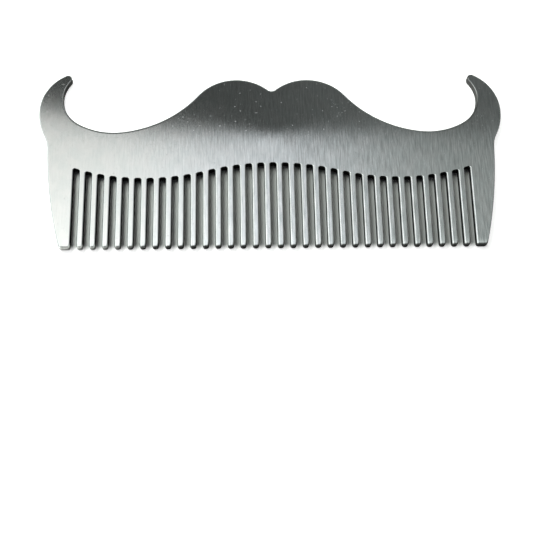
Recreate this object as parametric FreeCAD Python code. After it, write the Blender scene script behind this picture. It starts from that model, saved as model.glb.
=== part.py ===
"""Moustache-shaped beard comb, cut from one sheet of stainless steel.

The comb lies on its back face. X runs along the row of teeth, Y from the tooth tips to the spine, and Z through the
sheet. The outline is drawn with Y = 0 on the tooth tips, and the finished comb is then moved so that the origin is
the middle of its footprint on the back face. All lengths are in millimetres and all angles in degrees.
"""

import FreeCAD, Part
import math
import os

# The sheet and its finish
THICKNESS = 2.0
EDGE_RADIUS = 0.4

# The row of slots: one slot lies on the centre line, the others to both sides of it
PITCH = 2.9
SLOT_WIDTH = 1.45
SLOTS_EACH_SIDE = 16
SLOT_ROOT_RADIUS = 0.35
TOOTH_TIP_RADIUS = 0.6

# The wavy line that the slots end on: a low crest on the centre line and a shallow trough to each side
CREST_HEIGHT = 21.15
CREST_RADIUS = 64.0
TROUGH_OFFSET = 30.0
TROUGH_HEIGHT = 17.3

# The right half of the outline, from the notch between the two humps to the foot of the end guard. Each stretch is
# an arc that starts tangent to the one before it: its name, its radius (negative where the edge is hollow) and the
# direction that the edge faces where the stretch ends, counted from +X.
OUTLINE = (
    ("notch", -1.5, 129.0),
    ("hump", 12.2, 40.5),
    ("valley", -28.0, 83.5),
    ("end of valley", -16.8, 120.5),
    ("horn root", -7.8, 176.5),
    ("inside of horn", -7.6, 218.5),
    ("horn tip", 1.0, 64.0),
    ("back of horn", 10.8, 2.0),
    ("shoulder", 13.8, -28.0),
    ("waist", -7.0, -2.0),
    ("side", 110.0, -15.0),
    ("foot", 0.8, -90.0),
)
NOTCH_FACES = 90.0

# Room for the cutting bodies to run past the sheet
OVERRUN = 5.0
SAME_PLACE = 1e-4


def facing(angle):
    """The unit vector that points at an angle from +X."""
    return FreeCAD.Vector(math.cos(math.radians(angle)), math.sin(math.radians(angle)), 0)


def half_outline_points():
    """The start, middle and end of every stretch of the right half, with the foot on Y = 0."""
    stretches = []
    start = FreeCAD.Vector(0, 0, 0)
    start_angle = NOTCH_FACES
    for _, radius, end_angle in OUTLINE:
        centre = start - facing(start_angle) * radius
        middle = centre + facing((start_angle + end_angle) / 2) * radius
        end = centre + facing(end_angle) * radius
        stretches.append((start, middle, end))
        start = end
        start_angle = end_angle
    foot = FreeCAD.Vector(0, stretches[-1][2].y, 0)
    return [tuple(point - foot for point in stretch) for stretch in stretches]


def mirrored(point):
    """The same point on the other side of the centre line."""
    return FreeCAD.Vector(-point.x, point.y, point.z)


def outline_face():
    """The comb's outline without its slots, as a flat face."""
    right = half_outline_points()
    edges = [Part.Arc(*stretch).toShape() for stretch in right]
    edges += [Part.Arc(*map(mirrored, stretch)).toShape() for stretch in right]
    foot = right[-1][2]
    edges.append(Part.makeLine(foot, mirrored(foot)))
    return Part.Face(Part.Wire(Part.__sortEdges__(edges)))


def trough_radius():
    """The radius that makes the trough tangent to the crest."""
    drop = CREST_HEIGHT - TROUGH_HEIGHT
    return (TROUGH_OFFSET**2 + drop**2) / (2 * drop) - CREST_RADIUS


def wave_height(x):
    """The height above the tooth tips that a slot at this distance from the centre line reaches."""
    distance = abs(x)
    join = TROUGH_OFFSET * CREST_RADIUS / (CREST_RADIUS + trough_radius())
    if distance < join:
        return CREST_HEIGHT - CREST_RADIUS + math.sqrt(CREST_RADIUS**2 - distance**2)
    past = distance - TROUGH_OFFSET
    return TROUGH_HEIGHT + trough_radius() - math.sqrt(trough_radius() ** 2 - past**2)


def slot_cutter(x):
    """One slot's cutting body, with its inner end slanted along the wave."""
    left = x - SLOT_WIDTH / 2
    right = x + SLOT_WIDTH / 2
    corners = [
        FreeCAD.Vector(left, -OVERRUN, -OVERRUN),
        FreeCAD.Vector(right, -OVERRUN, -OVERRUN),
        FreeCAD.Vector(right, wave_height(right), -OVERRUN),
        FreeCAD.Vector(left, wave_height(left), -OVERRUN),
    ]
    profile = Part.Face(Part.makePolygon(corners + corners[:1]))
    return profile.extrude(FreeCAD.Vector(0, 0, THICKNESS + 2 * OVERRUN))


def slotted_sheet():
    """The sheet cut to its outline, with every slot cut and every corner still sharp."""
    sheet = outline_face().extrude(FreeCAD.Vector(0, 0, THICKNESS))
    places = range(-SLOTS_EACH_SIDE, SLOTS_EACH_SIDE + 1)
    return sheet.cut([slot_cutter(place * PITCH) for place in places])


def slot_corners(sheet, at_tips):
    """The upright edges of the slots: those at the tooth tips, or those at the inner ends."""
    reach = (SLOTS_EACH_SIDE + 0.5) * PITCH
    found = []
    for edge in sheet.Edges:
        ends = [vertex.Point for vertex in edge.Vertexes]
        upright = len(ends) == 2 and math.hypot(ends[0].x - ends[1].x, ends[0].y - ends[1].y) < SAME_PLACE
        if upright and abs(ends[0].x) < reach and (ends[0].y < SAME_PLACE) == at_tips:
            if ends[0].y < CREST_HEIGHT + SAME_PLACE:
                found.append(edge)
    return found


def face_edges(sheet):
    """Every edge that bounds the front face or the back face."""
    def flat_at(edge, height):
        return all(abs(vertex.Z - height) < SAME_PLACE for vertex in edge.Vertexes)

    return [edge for edge in sheet.Edges if flat_at(edge, 0) or flat_at(edge, THICKNESS)]


def comb_plate():
    """The whole comb: slots cut, slot ends and tooth tips rounded, and all edges eased on both faces."""
    sheet = slotted_sheet()
    sheet = sheet.makeFillet(SLOT_ROOT_RADIUS, slot_corners(sheet, at_tips=False))
    sheet = sheet.makeFillet(TOOTH_TIP_RADIUS, slot_corners(sheet, at_tips=True))
    sheet = sheet.makeFillet(EDGE_RADIUS, face_edges(sheet))
    plate = sheet.Solids[0]
    footprint = plate.optimalBoundingBox(False)
    plate.translate(FreeCAD.Vector(0, -(footprint.YMin + footprint.YMax) / 2, 0))
    return plate


os.makedirs("parts", exist_ok=True)
plate = comb_plate()
plate.exportStep("parts/comb_plate.step")
size = plate.optimalBoundingBox(False)
print(f"comb_plate {size.XLength:.2f} x {size.YLength:.2f} x {size.ZLength:.2f} mm, {plate.Volume:.1f} mm3")
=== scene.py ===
"""The looks of a moustache-shaped beard comb, cut from one brushed sheet of stainless steel.

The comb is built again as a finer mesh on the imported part's own sizes: the same outline, slots
and thickness, with every edge eased a little unevenly and the tooth tips ground rounder and
thinner than the rest. Sizes are in millimetres unless a comment says otherwise, places are in the
part's frame, and angles are in degrees. The outline and the mesh are drawn with Y = 0 on the tooth tips,
and the mesh is then moved into the frame.
"""

import math

import bpy
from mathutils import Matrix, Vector, geometry, kdtree, noise


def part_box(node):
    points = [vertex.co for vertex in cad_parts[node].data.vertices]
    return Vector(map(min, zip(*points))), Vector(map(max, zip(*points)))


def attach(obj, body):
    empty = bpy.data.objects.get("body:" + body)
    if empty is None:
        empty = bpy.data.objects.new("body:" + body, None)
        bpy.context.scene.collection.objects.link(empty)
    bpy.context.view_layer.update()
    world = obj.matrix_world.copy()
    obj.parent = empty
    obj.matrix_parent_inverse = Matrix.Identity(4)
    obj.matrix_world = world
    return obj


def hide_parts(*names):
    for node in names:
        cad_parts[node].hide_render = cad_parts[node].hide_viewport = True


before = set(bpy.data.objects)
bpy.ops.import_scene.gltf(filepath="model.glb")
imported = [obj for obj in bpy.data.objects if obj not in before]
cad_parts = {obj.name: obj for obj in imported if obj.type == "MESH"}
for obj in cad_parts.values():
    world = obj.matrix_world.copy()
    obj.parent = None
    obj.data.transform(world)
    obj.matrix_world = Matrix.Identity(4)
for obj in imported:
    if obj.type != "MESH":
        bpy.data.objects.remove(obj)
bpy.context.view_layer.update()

MM = 0.001

# The outline, as the part has it: the row of slots, the wave that they end on, and the arcs of the
# right half. Each arc starts tangent to the one before it, and has a name, a radius (negative
# where the edge is hollow) and the direction that the edge faces where the arc ends.
PITCH = 2.9
SLOT_WIDTH = 1.45
SLOTS_EACH_SIDE = 16
SLOT_ROOT_RADIUS = 0.35
TOOTH_TIP_RADIUS = 0.6
CREST_HEIGHT = 21.15
CREST_RADIUS = 64.0
TROUGH_OFFSET = 30.0
TROUGH_HEIGHT = 17.3
NOTCH_FACES = 90.0
OUTLINE = (
    ("notch", -1.5, 129.0),
    ("hump", 12.2, 40.5),
    ("valley", -28.0, 83.5),
    ("end of valley", -16.8, 120.5),
    ("horn root", -7.8, 176.5),
    ("inside of horn", -7.6, 218.5),
    ("horn tip", 1.0, 64.0),
    ("back of horn", 10.8, 2.0),
    ("shoulder", 13.8, -28.0),
    ("waist", -7.0, -2.0),
    ("side", 110.0, -15.0),
    ("foot", 0.8, -90.0),
)

# The eased edge: its reach in over the face and its depth down the wall. It reaches less where the
# edge faces right, more where it faces left, and more where it faces away from the teeth.
EDGE_REACH = 0.38
LESS_REACH_RIGHT = 0.08
MORE_REACH_AWAY = 0.18
EDGE_DEPTH = 0.40

# The eased edge's own sizes at the tooth tips and at the slots' inner ends, and how quickly the
# inner ends' size sets in as the edge turns to face the tips
TIP_REACH = 0.62
TIP_DEPTH = 0.50
TIP_LENGTH = 1.2
ROOT_REACH = 0.12
ROOT_ONSET = 1.4

# How uneven the eased edge is, over what length, and how far apart its two faces lie in the noise
# for each millimetre of thickness, so that they are worn differently
EDGE_UNEVENNESS = 0.16
UNEVENNESS_LENGTH = 5.0
FACES_APART = 20.0

# The taper: how far each face sinks at the tooth tips, and over what length
TAPER_DEPTH = 0.06
TAPER_LENGTH = 2.6

# How finely the mesh follows the outline, the eased edges and the flat faces
ARC_STEP_ANGLE = 6.0
LEAST_ARC_STEPS = 2
LONGEST_STEP = 0.7
EDGE_RINGS = 7
FACE_GRID = 2.0
SAME_POINT = 1e-6

# From here on, a pair is where something begins and where it is whole, unless its comment says
# otherwise. Two more numbers after a pair are what it grows from and to. Colours are red, green,
# blue and alpha. Flatness is 1 on the flat faces and 0 on the walls.

# Parts of the steel
ON_FACE = (0.90, 0.995)
AT_TIPS = (-20.8, -21.8)
AT_TEETH = (1.0, -1.0)
WITHIN_GUARDS = (49.5, 49.0)
# The span of the tips on the left that get a painted highlight
LEFT_TIPS_HIGHLIGHT_SPAN = (-26.0, -50.0)

# The flatness at which the cut wall begins, which grows where the edge faces the camera, where it faces
# right and at the tooth tips, so that the walls' darker colour paints shade up those eased edges, and over
# how much more flatness it fades in
WALL_FACING_RIGHT = 0.7
WALL_AT_TIPS = 0.6
WALL_BEGINS = (-0.4, 1.2, 0.20, 0.985)
WALL_SOFTNESS = 0.16

# Noises on the steel: waves per millimetre across and along the brushing, detail and seed
FINE_GRAIN = (150.0, 0.5, 0.0, 0.0)
FINE_BREAKS = (110.0, 2.0, 0.0, 17.0)
COARSE_GRAIN = (4.0, 0.16, 2.0, 31.0)
COARSE_BREAKS = (4.0, 0.4, 2.0, 57.0)
STREAKS = (3.0, 0.24, 3.0, 41.0)
STAINS = (0.35, 0.3, 2.0, 5.0)
CLOUDS = (0.09, 0.07, 2.0, 83.0)
SMUDGES = (3.0, 1.6, 2.0, 11.0)
GRID_SHEAR = 0.037

# How steeply the grain tilts the surface
FINE_GRAIN_SLOPE = 0.14
COARSE_GRAIN_SLOPE = 0.02
FINE_BREAKS_SLOPE = 0.010
COARSE_BREAKS_SLOPE = 0.003

# Colours of the faces: streaks of the grain that are fainter on the spine and fainter on the left, a
# fading that paints in the bright light there, and stains
STREAK_DARK = (0.33, 0.34, 0.34, 1)
STREAK_LIGHT = (0.53, 0.54, 0.545, 1)
STREAK_CONTRAST_BY_LIGHT = (-45.0, 15.0, 0.25, 2.5)
STREAK_ON_SPINE = (4.0, 12.0, 1.0, 0.6)
STAIN_COLD = (0.975, 0.985, 0.985, 1)
STAIN_WARM = (1.022, 1.012, 1.012, 1)
STAIN_SPREAD = (0.35, 0.65)

# Colours of the cut walls, outside and among the teeth, where oxide and painted shade darken them, and a
# painted highlight at the tips on the left; and painted shade on the rim along the right horn and the
# right guard's outer side
CUT_OUTSIDE = (0.32, 0.32, 0.31, 1)
CUT_OXIDE_AND_SHADE_AT_TEETH = (0.08, 0.08, 0.078, 1)
PAINTED_HIGHLIGHT_AT_LEFT_TIPS = (0.95, 0.95, 0.92, 1)
# Painted shade: the darker colour of the rim along the right horn and the right guard's outer side
PAINTED_SHADE_RIM = (0.16, 0.16, 0.155, 1)
RIM_BELOW_FACE = (0.99, 0.9)
RIM_ABOVE_WALL = (0.25, 0.40)
NOT_RIGHT = (0.2, -0.2)
HORN_FROM_X = (30.0, 44.0)
HORN_FROM_Y = (3.0, 7.0)
SIDE_FROM_X = (48.0, 50.0)
RIGHT = (0.2, 0.5)

# Painted shade on the cut walls, except on the right guard's outer side: a darker tint of the light that
# they return at a low angle, the further right they face, away from the light
PAINTED_SHADE_BY_FACING = (-0.4, 0.4)
UNSHADED_TINT = (1, 1, 1, 1)
PAINTED_SHADE_TINT = (0.02, 0.02, 0.02, 1)

# Roughness of the steel
WALL_ROUGHNESS = 0.12
EDGE_ROUGHNESS = 0.30
FACE_ROUGHNESS = 0.045
CLOUD_ROUGHNESS = 0.03
SMUDGE_ROUGHNESS = (0.45, 0.75, 0.0, 0.02)
SPECK_ROUGHNESS = 0.21

# Specks on the faces: cells per millimetre, the reach in cells of the smallest and the largest,
# the hard core's share of it, and how much likelier they are in the cluster on the right hump
SPECK_CELLS = 0.8
SPECK_REACH = (0.0, 1.0, 0.07, 0.20)
SPECK_CORE = 0.3
CLUSTER_PLACE = (16.3, 12.0, 0.0)
CLUSTER_REACH = (4.5, 0.0)
CLUSTER_GAIN = 0.45

# Round specks and slanting scratches: their turn, their stretch and the cells that have none
SPOTS = (0.0, 1.0, 0.83)
SCRATCHES = (55.0, 2.2, 0.94)

# The floor: its reach in metres, its place below the comb, its shade, how much of it the steel mirrors,
# which is a painted shade that darkens the floor in the steel's reflections and is lighter on the far
# left, and where it glows: beside the comb, before the tooth tips and behind the slots
FLOOR_REACH = 3.0
FLOOR_HEIGHT = -0.02
FLOOR_SHADE = 0.9
FLOOR_ROUGHNESS = 0.7
FLOOR_GLOW = 0.88
MIRRORED_BY_WAY = (0.0, 0.35)
MIRRORED_LEAST = 0.08
MIRRORED_BY_PLACE = (-45, -60, 0.3, 0.9)
BESIDE_GUARDS = (49.0, 50.5)
BEFORE_TIPS = (-20.9, -22.7)
BEHIND_SLOTS = (1.0, 3.0)

# The soft box over the comb: its corners and height, its strength from left to right, its far
# edge, which bows away towards the left, and its growth from there to the near part
BOX_LOW = (-270, -100)
BOX_HIGH = (330, 180)
BOX_HEIGHT = 300.0
BOX_ACROSS = (-75.0, 135.0, 1.65, 0.33)
FAR_EDGE = 156.0
FAR_EDGE_SOFTNESS = (-120, -40, 5.0, 8.5)
BOW_START = -10.0
BOW = 0.00116
FAR_SHARE = 0.86
NEARER_GAIN = 0.007
NEAR_PART = 80.0
NEAR_PART_DIMMED = (50.0, 80.0, 0.6, 1.0)

# A brighter strip in the box's near part, which the tooth tips mirror
STRIP_FAR_SIDE = (80.0, 40.0)
STRIP_NEAR_SIDE = (5.0, 30.0)
STRIP_STRENGTH = 1.2

# The tint of the box's light from left to right
LEFT_TINT = (0.993, 1.0, 0.953, 1.0)
MIDDLE_TINT = (0.962, 1.0, 1.03, 1.0)
RIGHT_TINT = (0.927, 1.0, 0.964, 1.0)
LEFT_TO_MIDDLE = (-100, 12)
MIDDLE_TO_RIGHT = (12, 118)

# The lamps for the floor between the teeth: two corners, height and strength of each, and their
# tint, which has no alpha
SLOT_LAMPS = (
    ((-250, 60), (-90, 500), 300, 7.0),
    ((-110, 20), (-64, 220), 100, 3.4),
    ((0, 20), (95, 220), 100, 1.15),
)
SLOT_TINT = (0.93, 1.0, 0.93)

# The room, by the direction that a ray leaves in, from -1 to 1 along each axis. The left wall has
# a far end and two sills that it is dimmer below. The front wall is low, and all but the left one
# fade away higher up. The ceiling's light comes from everywhere, most of it from the right.
LEFT_WALL = (-0.42, -0.65, 0.0, 2.3)
LEFT_WALL_END = (0.66, 0.50)
LEFT_WALL_SILLS = ((0.40, 0.60, 0.5, 1.0), (0.05, 0.25, 0.4, 1.0))
RIGHT_WALL = (0.4, 0.8, 0.0, 0.30)
BACK_WALL = (-0.3, 0.5, 0.0, 0.25)
FRONT_WALL_WAY = (-0.2, -0.6)
FRONT_WALL = (0.35, 0.20, 0.0, 0.9)
OTHER_WALLS_TOP = (0.85, 0.45)
CEILING = (-0.03, 0.12, 0.105, 0.21)
ROOM_TINT = (0.935, 1.0, 0.96, 1.0)
ROOM_SEEN_TINT = (1, 1, 1, 1)
ROOM_SEEN = 0.95

# What share reaches the floor of the room's light, and of the box's light off the steel
SHARE_AFTER_FLOOR = 0.1

# The camera, in millimetres and degrees
CAMERA_PLACE = (-8.3, -96.3, 210.9)
CAMERA_TURN = (17.78, -1.88, -1.22)
LENS = 62.7
SENSOR = 36.0


def facing(angle):
    """The unit vector that points at an angle from +X."""
    return Vector((math.cos(math.radians(angle)), math.sin(math.radians(angle))))


def arc_points(centre, radius, start_angle, end_angle, hollow):
    """Points along an arc, each with the direction that the edge faces there."""
    sweep = end_angle - start_angle
    length = abs(radius * math.radians(sweep))
    by_angle = math.ceil(abs(sweep) / ARC_STEP_ANGLE)
    steps = max(LEAST_ARC_STEPS, by_angle, math.ceil(length / LONGEST_STEP))
    points = []
    for step in range(steps + 1):
        out = facing(start_angle + sweep * step / steps)
        points.append((centre + out * radius * (-1 if hollow else 1), out))
    return points


def half_outline():
    """The right half of the outline, from the notch to the guard's foot, as points with facings."""
    points = []
    start = Vector((0, 0))
    start_angle = NOTCH_FACES
    for _, radius, end_angle in OUTLINE:
        centre = start - facing(start_angle) * radius
        stretch = arc_points(centre, abs(radius), start_angle, end_angle, radius < 0)
        points += stretch if not points else stretch[1:]
        start = stretch[-1][0]
        start_angle = end_angle
    foot = start.y
    return [(point - Vector((0, foot)), out) for point, out in points]


def trough_radius():
    """The radius that makes the trough of the wave tangent to its crest."""
    drop = CREST_HEIGHT - TROUGH_HEIGHT
    return (TROUGH_OFFSET**2 + drop**2) / (2 * drop) - CREST_RADIUS


def wave_height(x):
    """The height above the tooth tips that a slot at this distance from the centre reaches."""
    distance = abs(x)
    join = TROUGH_OFFSET * CREST_RADIUS / (CREST_RADIUS + trough_radius())
    if distance < join:
        return CREST_HEIGHT - CREST_RADIUS + math.sqrt(CREST_RADIUS**2 - distance**2)
    past = distance - TROUGH_OFFSET
    return TROUGH_HEIGHT + trough_radius() - math.sqrt(trough_radius() ** 2 - past**2)


def straight_points(start, end, out):
    """Points between the ends of a straight edge, without the ends themselves."""
    steps = math.ceil((end - start).length / LONGEST_STEP)
    return [(start.lerp(end, step / steps), out) for step in range(1, steps)]


def rounded_corner(before, corner, after, radius):
    """A rounded corner of a path that keeps the material on its right, as points with facings."""
    arriving = (corner - before).normalized()
    leaving = (after - corner).normalized()
    turn = math.degrees(arriving.angle_signed(leaving))
    setback = radius * math.tan(math.radians(abs(turn)) / 2)
    start_out = math.degrees(math.atan2(arriving.x, -arriving.y))
    hollow = turn < 0
    start_facing = facing(start_out)
    start = corner - arriving * setback
    centre = start + start_facing * (radius if hollow else -radius)
    return arc_points(centre, radius, start_out, start_out - turn, hollow)


def slot_corners():
    """The four corners of every slot with their radii, from the right end of the row to the left."""
    corners = []
    for place in range(SLOTS_EACH_SIDE, -SLOTS_EACH_SIDE - 1, -1):
        right = place * PITCH + SLOT_WIDTH / 2
        left = place * PITCH - SLOT_WIDTH / 2
        corners += [
            (Vector((right, 0)), TOOTH_TIP_RADIUS),
            (Vector((right, wave_height(right))), SLOT_ROOT_RADIUS),
            (Vector((left, wave_height(left))), SLOT_ROOT_RADIUS),
            (Vector((left, 0)), TOOTH_TIP_RADIUS),
        ]
    return corners


def toothed_edge(foot):
    """The toothed edge, from the right guard's foot to the left one's, as points with facings."""
    left_foot = Vector((-foot.x, foot.y))
    corners = slot_corners()
    places = [foot] + [corner for corner, _ in corners] + [left_foot]
    points = []
    last = foot
    for index, (corner, radius) in enumerate(corners):
        bend = rounded_corner(places[index], corner, places[index + 2], radius)
        points += straight_points(last, bend[0][0], bend[0][1]) + bend
        last = bend[-1][0]
    return points + straight_points(last, left_foot, points[-1][1])


def whole_outline():
    """The closed outline, clockwise from the notch, as points with facings."""
    right = half_outline()
    left = [(Vector((-point.x, point.y)), Vector((-out.x, out.y))) for point, out in reversed(right)]
    return right + toothed_edge(right[-1][0]) + left[:-1]


def smooth_step(share):
    """An even rise from 0 to 1 with eased ends."""
    share = min(1.0, max(0.0, share))
    return share * share * (3 - 2 * share)


def edge_easing(point, out, height):
    """The reach and depth of the eased edge at a point, a little different from place to place."""
    place = Vector((point.x, point.y, height * FACES_APART)) / UNEVENNESS_LENGTH
    worn = 1 - EDGE_UNEVENNESS * (0.5 + 0.5 * noise.noise(place))
    tip = smooth_step(1 - point.y / TIP_LENGTH)
    root = smooth_step(-ROOT_ONSET * out.y) * smooth_step(point.y - TIP_LENGTH)
    reach = EDGE_REACH - LESS_REACH_RIGHT * out.x + MORE_REACH_AWAY * max(0.0, out.y)
    reach += (TIP_REACH - reach) * tip + (ROOT_REACH - reach) * root
    depth = EDGE_DEPTH + (TIP_DEPTH - EDGE_DEPTH) * tip + (ROOT_REACH - EDGE_DEPTH) * root
    return reach * worn, depth * worn


def tapered(place, normal, thickness):
    """A point and its normal after the tooth tips have been made thinner than the rest."""
    share = max(0.0, 1 - place.y / TAPER_LENGTH)
    middle = thickness / 2
    drop = TAPER_DEPTH * share * share
    slope = 2 * TAPER_DEPTH * share / TAPER_LENGTH
    height = middle + (place.z - middle) * (1 - drop / middle)
    tilt = -slope * normal.z
    return Vector((place.x, place.y, height)), (normal + Vector((0, tilt, 0))).normalized()


def eased_rings(outline, thickness, upper):
    """The rings of one eased edge, from its face to its wall, as places with normals."""
    side = 1 if upper else -1
    face_height = thickness if upper else 0.0
    easings = [edge_easing(point, out, face_height) for point, out in outline]
    rings = []
    for ring in range(EDGE_RINGS + 1):
        angle = math.radians(90 * ring / EDGE_RINGS)
        places = []
        for (point, out), (reach, depth) in zip(outline, easings):
            flat = point - out * reach * (1 - math.sin(angle))
            height = face_height - side * depth * (1 - math.cos(angle))
            across = out * depth * math.sin(angle)
            normal = Vector((across.x, across.y, side * reach * math.cos(angle))).normalized()
            places.append(tapered(Vector((flat.x, flat.y, height)), normal, thickness))
        rings.append(places)
    return rings


def face_grid(edge):
    """A grid of points over the area inside an edge, without those that lie close to the edge."""
    near = kdtree.KDTree(len(edge))
    for index, place in enumerate(edge):
        near.insert(place.to_3d(), index)
    near.balance()
    columns = math.ceil(max(place.x for place in edge) / FACE_GRID)
    rows = math.ceil(max(place.y for place in edge) / FACE_GRID)
    grid = [
        Vector((column * FACE_GRID, row * FACE_GRID))
        for row in range(rows)
        for column in range(-columns, columns + 1)
    ]
    return [place for place in grid if near.find(place.to_3d())[2] > FACE_GRID / 2]


def flat_face_inside(edge, upper):
    """The triangles of a flat face inside an edge, over the edge's points and then the grid's."""
    grid = face_grid(edge)
    found = geometry.delaunay_2d_cdt(edge + grid, [], [list(range(len(edge)))], 1, SAME_POINT)
    triangles = [[found[3][corner][0] for corner in triangle] for triangle in found[2]]
    if not upper:
        triangles = [triangle[::-1] for triangle in triangles]
    return grid, triangles


def band_faces(ring_count, length):
    """The four-sided faces between rings that follow one another."""
    faces = []
    for upper in range(ring_count - 1):
        top, bottom = upper * length, (upper + 1) * length
        for index in range(length):
            after = (index + 1) % length
            faces.append((top + index, top + after, bottom + after, bottom + index))
    return faces


def comb_mesh(thickness, lift):
    """The comb as one closed mesh in metres, with exact normals on its faces and eased edges."""
    outline = whole_outline()
    rings = eased_rings(outline, thickness, True) + eased_rings(outline, thickness, False)[::-1]
    count = len(outline)
    places = [place for ring in rings for place, _ in ring]
    normals = [normal for ring in rings for _, normal in ring]
    faces = band_faces(len(rings), count)
    for ring, upper in ((rings[0], True), (rings[-1], False)):
        first = 0 if upper else (len(rings) - 1) * count
        grid, triangles = flat_face_inside([place.xy for place, _ in ring], upper)
        used = sorted({corner for triangle in triangles for corner in triangle if corner >= count})
        new_index = {corner: len(places) + number for number, corner in enumerate(used)}
        height = ring[0][0].z
        places += [grid[corner - count].to_3d() + Vector((0, 0, height)) for corner in used]
        normals += [Vector((0, 0, 1 if upper else -1))] * len(used)
        for triangle in triangles:
            faces.append([new_index[corner] if corner >= count else first + corner for corner in triangle])
    mesh = bpy.data.meshes.new("comb")
    mesh.from_pydata([(place + lift) * MM for place in places], [], faces)
    mesh.polygons.foreach_set("use_smooth", [True] * len(mesh.polygons))
    mesh.normals_split_custom_set_from_vertices(normals)
    mesh.validate()
    return mesh


class Shader:
    """A short way to write the nodes of a material, a light or the world."""

    def __init__(self, tree):
        self.tree = tree
        self.tree.nodes.clear()

    def add(self, kind, inputs=None, **settings):
        """A new node with its settings and its inputs, which are values or other nodes' outputs."""
        made = self.tree.nodes.new(kind)
        for name, value in settings.items():
            setattr(made, name, value)
        for name, value in (inputs or {}).items():
            if isinstance(value, bpy.types.NodeSocket):
                self.tree.links.new(value, made.inputs[name])
            else:
                made.inputs[name].default_value = value
        return made

    def vector(self, x, y, z):
        """A vector from three numbers."""
        return self.add("ShaderNodeCombineXYZ", {0: x, 1: y, 2: z}).outputs[0]

    def split(self, vector):
        """The three numbers of a vector."""
        return self.add("ShaderNodeSeparateXYZ", {0: vector}).outputs

    def scaled(self, vector, scale):
        """A vector times a number."""
        return self.add("ShaderNodeVectorMath", {0: vector, "Scale": scale}, operation="SCALE").outputs[0]

    def maths(self, operation, first, second=0.0, third=0.0):
        """One sum on numbers."""
        node = self.add("ShaderNodeMath", {0: first, 1: second, 2: third}, operation=operation)
        return node.outputs[0]

    def product(self, first, *others):
        """Numbers multiplied together."""
        for other in others:
            first = self.maths("MULTIPLY", first, other)
        return first

    def highest(self, first, *others):
        """The highest of some numbers."""
        for other in others:
            first = self.maths("MAXIMUM", first, other)
        return first

    def ranged(self, value, low, high, to_low=0.0, to_high=1.0):
        """A value's place between two limits, eased at both ends, as a number between two others."""
        inputs = {"Value": value, "From Min": low, "From Max": high, "To Min": to_low, "To Max": to_high}
        return self.add("ShaderNodeMapRange", inputs, interpolation_type="SMOOTHSTEP").outputs[0]

    def between(self, share, first, second):
        """A number between two others, by a share."""
        return self.add("ShaderNodeMix", {0: share, 2: first, 3: second}).outputs[0]

    def blend(self, share, first, second, blend_type="MIX"):
        """Two colours mixed by a share."""
        inputs = {0: share, 6: first, 7: second}
        return self.add("ShaderNodeMix", inputs, data_type="RGBA", blend_type=blend_type).outputs[2]

    def centred_sum(self, *waves):
        """Noises round 0.5, taken to swing round 0, each with its own strength, and added up."""
        total = 0.0
        for wave, strength in waves:
            swing = self.maths("MULTIPLY_ADD", wave, 2 * strength, -strength)
            total = self.maths("ADD", swing, total)
        return total

    def noise(self, place, across, along, detail, seed):
        """Smooth noise round 0.5, with its own waves per millimetre across and along the brushing.

        It is sheared a little, so that the rows of its own grid don't show.
        """
        x, y, z = place
        across = self.maths("MULTIPLY", x, across)
        along = self.maths("MULTIPLY_ADD", y, along, self.maths("MULTIPLY", across, GRID_SHEAR))
        point = self.vector(across, along, self.maths("ADD", z, seed))
        inputs = {"Vector": point, "Scale": 1.0, "Detail": detail}
        return self.add("ShaderNodeTexNoise", inputs).outputs["Fac"]

    def specks(self, place, turn, stretch, rarity):
        """Tiny scuffs of many sizes, turned and stretched, with more in a cluster."""
        x, y, _ = place
        point = self.vector(x, y, 0.0)
        off_cluster = self.add("ShaderNodeVectorMath", {0: point, 1: CLUSTER_PLACE}, operation="DISTANCE")
        crowded = self.ranged(off_cluster.outputs["Value"], *CLUSTER_REACH)
        turned = {
            "Vector": point,
            "Rotation": (0, 0, math.radians(turn)),
            "Scale": (1 / stretch, stretch, 1),
        }
        point = self.add("ShaderNodeMapping", turned, vector_type="POINT").outputs[0]
        inputs = {"Vector": point, "Scale": SPECK_CELLS}
        cells = self.add("ShaderNodeTexVoronoi", inputs, voronoi_dimensions="2D").outputs
        chance, size, _ = self.split(cells["Color"])
        chosen = self.maths("MULTIPLY_ADD", crowded, CLUSTER_GAIN, chance)
        chosen = self.maths("GREATER_THAN", chosen, rarity)
        reach = self.ranged(size, *SPECK_REACH)
        core = self.maths("MULTIPLY", reach, SPECK_CORE)
        return self.product(self.ranged(cells["Distance"], reach, core), chosen)

    def share_for_floor(self):
        """1 for a ray that has only met steel, and less for a ray that has met the floor."""
        met_floor = self.maths("MINIMUM", self.add("ShaderNodeLightPath").outputs["Diffuse Depth"], 1.0)
        return self.ranged(met_floor, 0.0, 1.0, 1.0, SHARE_AFTER_FLOOR)


def new_material(name):
    """An empty material with nodes."""
    material = bpy.data.materials.new(name)
    material.use_nodes = True
    return material


def grain_normal(shader, place, normal, on_face):
    """The surface's direction, tilted on the faces by the grain of the brushing."""
    fine = shader.noise(place, *FINE_GRAIN)
    coarse = shader.noise(place, *COARSE_GRAIN)
    slope_across = shader.centred_sum((fine, FINE_GRAIN_SLOPE), (coarse, COARSE_GRAIN_SLOPE))
    fine = shader.noise(place, *FINE_BREAKS)
    coarse = shader.noise(place, *COARSE_BREAKS)
    slope_along = shader.centred_sum((fine, FINE_BREAKS_SLOPE), (coarse, COARSE_BREAKS_SLOPE))
    tilt = shader.scaled(shader.vector(slope_across, slope_along, 0.0), on_face)
    tilted = shader.add("ShaderNodeVectorMath", {0: normal, 1: tilt}, operation="ADD").outputs[0]
    return shader.add("ShaderNodeVectorMath", {0: tilted}, operation="NORMALIZE").outputs[0]


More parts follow.
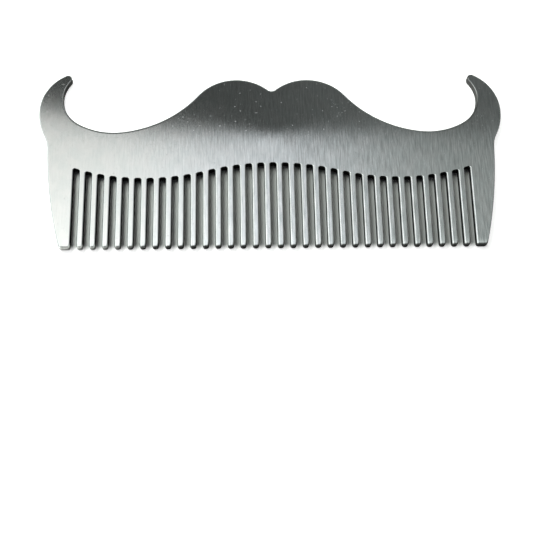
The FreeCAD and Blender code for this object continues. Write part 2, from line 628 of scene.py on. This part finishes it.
def face_colour(shader, place):
    """The colour of the brushed faces, with streaks and stains."""
    x, y, _ = place
    # Painted light: the streaks fade towards the left, where the light falls brightest.
    contrast = shader.product(shader.ranged(x, *STREAK_CONTRAST_BY_LIGHT), shader.ranged(y, *STREAK_ON_SPINE))
    streak = shader.maths("SUBTRACT", shader.noise(place, *STREAKS), 0.5)
    streak = shader.maths("MULTIPLY_ADD", streak, contrast, 0.5)
    steel = shader.blend(streak, STREAK_DARK, STREAK_LIGHT)
    stained = shader.ranged(shader.noise(place, *STAINS), *STAIN_SPREAD)
    stain = shader.blend(stained, STAIN_COLD, STAIN_WARM)
    return shader.blend(1.0, steel, stain, blend_type="MULTIPLY")


def cut_colour(shader, place, at_tips):
    """The colour of the cut walls: darkest among the teeth, from oxide and painted shade, with a painted
    highlight at the tips on the left.
    """
    x, y, _ = place
    within_guards = shader.ranged(shader.maths("ABSOLUTE", x), *WITHIN_GUARDS)
    at_teeth = shader.product(shader.ranged(y, *AT_TEETH), shader.highest(within_guards, at_tips))
    left_tips_highlight = shader.product(at_tips, shader.ranged(x, *LEFT_TIPS_HIGHLIGHT_SPAN))
    dark = shader.blend(left_tips_highlight, CUT_OXIDE_AND_SHADE_AT_TEETH, PAINTED_HIGHLIGHT_AT_LEFT_TIPS)
    return shader.blend(at_teeth, CUT_OUTSIDE, dark)


def on_painted_shade_rim(shader, place, facing_right, flatness):
    """1 on the rim along the right horn and on the eased edge of the right guard's outer side, where a
    darker colour paints shade.
    """
    x, y, _ = place
    on_horn = shader.product(shader.ranged(x, *HORN_FROM_X), shader.ranged(y, *HORN_FROM_Y))
    on_side = shader.product(shader.ranged(x, *SIDE_FROM_X), shader.ranged(facing_right, *RIGHT))
    above_wall = shader.ranged(flatness, *RIM_ABOVE_WALL)
    above_wall = shader.highest(above_wall, shader.ranged(facing_right, *NOT_RIGHT))
    return shader.product(
        shader.highest(on_horn, on_side),
        shader.ranged(flatness, *RIM_BELOW_FACE),
        above_wall,
    )


def steel_roughness(shader, place, on_face, on_wall, speck):
    """The roughness of the steel: low on the brushed faces, higher on the edges and walls."""
    cloud = shader.noise(place, *CLOUDS)
    smudge = shader.noise(place, *SMUDGES)
    on_faces = shader.maths("MULTIPLY_ADD", cloud, CLOUD_ROUGHNESS, FACE_ROUGHNESS)
    on_faces = shader.maths("ADD", on_faces, shader.ranged(smudge, *SMUDGE_ROUGHNESS))
    on_faces = shader.maths("MULTIPLY_ADD", speck, SPECK_ROUGHNESS, on_faces)
    on_edges = shader.maths("MULTIPLY_ADD", on_wall, WALL_ROUGHNESS, EDGE_ROUGHNESS)
    return shader.between(on_face, on_edges, on_faces)


def wall_share(shader, facing_right, facing_away, flatness, at_tips):
    """1 on the cut walls, which begin higher up the eased edge where it faces right, towards the camera or
    at the tooth tips, so that the walls' darker colour paints shade there.
    """
    painted_shade_way = shader.maths("SUBTRACT", shader.product(facing_right, WALL_FACING_RIGHT), facing_away)
    painted_shade_way = shader.maths("MULTIPLY_ADD", at_tips, WALL_AT_TIPS, painted_shade_way)
    begins = shader.ranged(painted_shade_way, *WALL_BEGINS)
    return shader.ranged(flatness, begins, shader.maths("SUBTRACT", begins, WALL_SOFTNESS))


def brushed_steel():
    """Stainless steel: faces brushed from the teeth to the spine, smooth edges, and darker cut walls, with
    painted shade among the teeth, on walls that face right and on the right rim, and a painted highlight
    at the left tips.
    """
    material = new_material("brushed_steel")
    shader = Shader(material.node_tree)
    place = shader.split(shader.scaled(shader.add("ShaderNodeTexCoord").outputs["Object"], 1 / MM))
    normal = shader.add("ShaderNodeNewGeometry").outputs["Normal"]
    facing_right, facing_away, facing_up = shader.split(normal)
    flatness = shader.maths("ABSOLUTE", facing_up)
    on_face = shader.ranged(flatness, *ON_FACE)
    at_tips = shader.ranged(place[1], *AT_TIPS)
    on_wall = wall_share(shader, facing_right, facing_away, flatness, at_tips)
    speck = shader.highest(shader.specks(place, *SPOTS), shader.specks(place, *SCRATCHES))
    speck = shader.product(speck, on_face)
    steel = shader.blend(on_wall, face_colour(shader, place), cut_colour(shader, place, at_tips))
    # Painted shade on the rim along the right horn and the right guard's outer side
    steel = shader.blend(on_painted_shade_rim(shader, place, facing_right, flatness), steel, PAINTED_SHADE_RIM)
    # Painted shade: the walls' tint darkens the further right they face.
    painted_wall_shade = shader.product(
        on_wall,
        shader.ranged(facing_right, *PAINTED_SHADE_BY_FACING),
        shader.ranged(place[0], *WITHIN_GUARDS),
    )
    surface = shader.add(
        "ShaderNodeBsdfPrincipled",
        {
            "Base Color": steel,
            "Specular Tint": shader.blend(painted_wall_shade, UNSHADED_TINT, PAINTED_SHADE_TINT),
            "Metallic": 1.0,
            "Roughness": steel_roughness(shader, place, on_face, on_wall, speck),
            "Anisotropic": shader.maths("SUBTRACT", on_face, speck),
            "Normal": grain_normal(shader, place, normal, on_face),
            "Tangent": (1.0, 0.0, 0.0),
        },
    )
    shader.add("ShaderNodeOutputMaterial", {"Surface": surface.outputs[0]})
    return material


def floor_material():
    """The floor's pale material. In the steel's reflections it is painted dark as shade, and painted
    lighter in what faces left and on the far left.

    It glows a little, but not among the teeth.
    """
    material = new_material("floor")
    shader = Shader(material.node_tree)
    here = shader.add("ShaderNodeNewGeometry").outputs
    way_to_viewer = shader.split(here["Incoming"])[0]
    x, y, _ = shader.split(shader.scaled(here["Position"], 1 / MM))
    most = shader.ranged(x, *MIRRORED_BY_PLACE)
    painted_shade_in_steel = shader.ranged(way_to_viewer, *MIRRORED_BY_WAY, MIRRORED_LEAST, most)
    in_steel = shader.add("ShaderNodeLightPath").outputs["Is Glossy Ray"]
    shade = shader.between(in_steel, FLOOR_SHADE, painted_shade_in_steel)
    colour = shader.add("ShaderNodeCombineColor", {0: shade, 1: shade, 2: shade}).outputs[0]
    glows = shader.highest(
        shader.ranged(shader.maths("ABSOLUTE", x), *BESIDE_GUARDS),
        shader.ranged(y, *BEFORE_TIPS),
        shader.ranged(y, *BEHIND_SLOTS),
    )
    surface = shader.add(
        "ShaderNodeBsdfPrincipled",
        {
            "Base Color": colour,
            "Roughness": FLOOR_ROUGHNESS,
            "Emission Color": (1, 1, 1, 1),
            "Emission Strength": shader.product(glows, shade, FLOOR_GLOW),
        },
    )
    shader.add("ShaderNodeOutputMaterial", {"Surface": surface.outputs[0]})
    return material


def pale_floor():
    """A plain pale floor, just under the comb's back face."""
    ways = ((-1, -1), (1, -1), (1, 1), (-1, 1))
    corners = [(x * FLOOR_REACH, y * FLOOR_REACH, FLOOR_HEIGHT * MM) for x, y in ways]
    mesh = bpy.data.meshes.new("floor")
    mesh.from_pydata(corners, [], [(0, 1, 2, 3)])
    mesh.materials.append(floor_material())
    floor = bpy.data.objects.new("floor", mesh)
    bpy.context.scene.collection.objects.link(floor)


def soft_box(name, low, high, height, strength):
    """A soft box that faces down, between two corners."""
    light = bpy.data.lights.new(name, "AREA")
    light.shape = "RECTANGLE"
    light.size = (high[0] - low[0]) * MM
    light.size_y = (high[1] - low[1]) * MM
    light.energy = strength * light.size * light.size_y * math.pi
    box = bpy.data.objects.new(name, light)
    box.location = ((low[0] + high[0]) / 2 * MM, (low[1] + high[1]) / 2 * MM, height * MM)
    bpy.context.scene.collection.objects.link(box)
    return box


def box_strength(shader, x, y):
    """The box's strength: it falls to the right and ends at the far edge, and has a near strip."""
    nearness = shader.maths("SUBTRACT", FAR_EDGE, shader.highest(y, NEAR_PART))
    along = shader.maths("MULTIPLY_ADD", nearness, NEARER_GAIN, FAR_SHARE)
    past_start = shader.maths("MINIMUM", shader.maths("SUBTRACT", x, BOW_START), 0.0)
    edge = shader.maths("MULTIPLY_ADD", shader.product(past_start, past_start), BOW, FAR_EDGE)
    softness = shader.ranged(x, *FAR_EDGE_SOFTNESS)
    strength = shader.product(
        shader.ranged(x, *BOX_ACROSS),
        along,
        shader.ranged(y, *NEAR_PART_DIMMED),
        shader.ranged(shader.maths("SUBTRACT", edge, y), 0.0, softness),
    )
    strip = shader.product(shader.ranged(y, *STRIP_FAR_SIDE), shader.ranged(y, *STRIP_NEAR_SIDE))
    return shader.maths("MULTIPLY_ADD", strip, STRIP_STRENGTH, strength)


def overhead_light():
    """A wide soft box over the comb, which shows in reflections and sheds no diffuse light."""
    box = soft_box("overhead", BOX_LOW, BOX_HIGH, BOX_HEIGHT, 1.0)
    box.visible_diffuse = False
    box.data.use_nodes = True
    shader = Shader(box.data.node_tree)
    here = shader.add("ShaderNodeNewGeometry").outputs["Position"]
    x, y, _ = shader.split(shader.scaled(here, 1 / MM))
    strength = shader.product(box_strength(shader, x, y), shader.share_for_floor())
    tint = shader.blend(shader.ranged(x, *LEFT_TO_MIDDLE), LEFT_TINT, MIDDLE_TINT)
    tint = shader.blend(shader.ranged(x, *MIDDLE_TO_RIGHT), tint, RIGHT_TINT)
    lamp = shader.add("ShaderNodeEmission", {"Color": tint, "Strength": strength})
    shader.add("ShaderNodeOutputLight", {"Surface": lamp.outputs[0]})


def floor_light():
    """Soft lamps that only the floor takes notice of, for the light on it between the teeth."""
    for low, high, height, strength in SLOT_LAMPS:
        lamp = soft_box("slot lamp", low, high, height, strength)
        lamp.data.color = SLOT_TINT
        lamp.visible_glossy = False
        lamp.visible_camera = False


def room():
    """A dim room with a bright wall on the left. To the camera the room itself looks pale."""
    world = bpy.data.worlds.new("room")
    world.use_nodes = True
    shader = Shader(world.node_tree)
    x, y, z = shader.split(shader.add("ShaderNodeTexCoord").outputs["Generated"])
    sills = [shader.ranged(z, *sill) for sill in LEFT_WALL_SILLS]
    left = shader.product(shader.ranged(x, *LEFT_WALL), shader.ranged(y, *LEFT_WALL_END), *sills)
    front = shader.product(shader.ranged(y, *FRONT_WALL_WAY), shader.ranged(z, *FRONT_WALL))
    others = shader.maths("ADD", shader.ranged(y, *BACK_WALL), shader.ranged(x, *RIGHT_WALL))
    others = shader.product(shader.maths("ADD", others, front), shader.ranged(z, *OTHER_WALLS_TOP))
    light = shader.maths("ADD", shader.maths("ADD", left, others), shader.ranged(x, *CEILING))
    light = shader.product(light, shader.share_for_floor())
    seen = shader.add("ShaderNodeLightPath").outputs["Is Camera Ray"]
    background = shader.add(
        "ShaderNodeBackground",
        {
            "Color": shader.blend(seen, ROOM_TINT, ROOM_SEEN_TINT),
            "Strength": shader.between(seen, light, ROOM_SEEN),
        },
    )
    shader.add("ShaderNodeOutputWorld", {"Surface": background.outputs[0]})
    bpy.context.scene.world = world


def studio():
    """The floor, all the light, and a plain view of their colours."""
    pale_floor()
    overhead_light()
    floor_light()
    room()
    bpy.context.scene.view_settings.view_transform = "Standard"


def comb():
    """The comb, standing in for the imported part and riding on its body."""
    low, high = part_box("comb_plate")
    thickness = (high.z - low.z) / MM
    lift = Vector((0, low.y / MM, low.z / MM))
    sheet = bpy.data.objects.new("comb_sheet", comb_mesh(thickness, lift))
    bpy.context.scene.collection.objects.link(sheet)
    sheet.data.materials.append(brushed_steel())
    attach(sheet, "root")
    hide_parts("comb_plate")


def camera():
    """The camera, nearly overhead on the side of the teeth."""
    eye = bpy.data.objects.new("camera", bpy.data.cameras.new("camera"))
    eye.data.lens = LENS
    eye.data.sensor_width = SENSOR
    eye.location = Vector(CAMERA_PLACE) * MM
    eye.rotation_euler = [math.radians(angle) for angle in CAMERA_TURN]
    bpy.context.scene.collection.objects.link(eye)
    bpy.context.scene.camera = eye


comb()
studio()
camera()
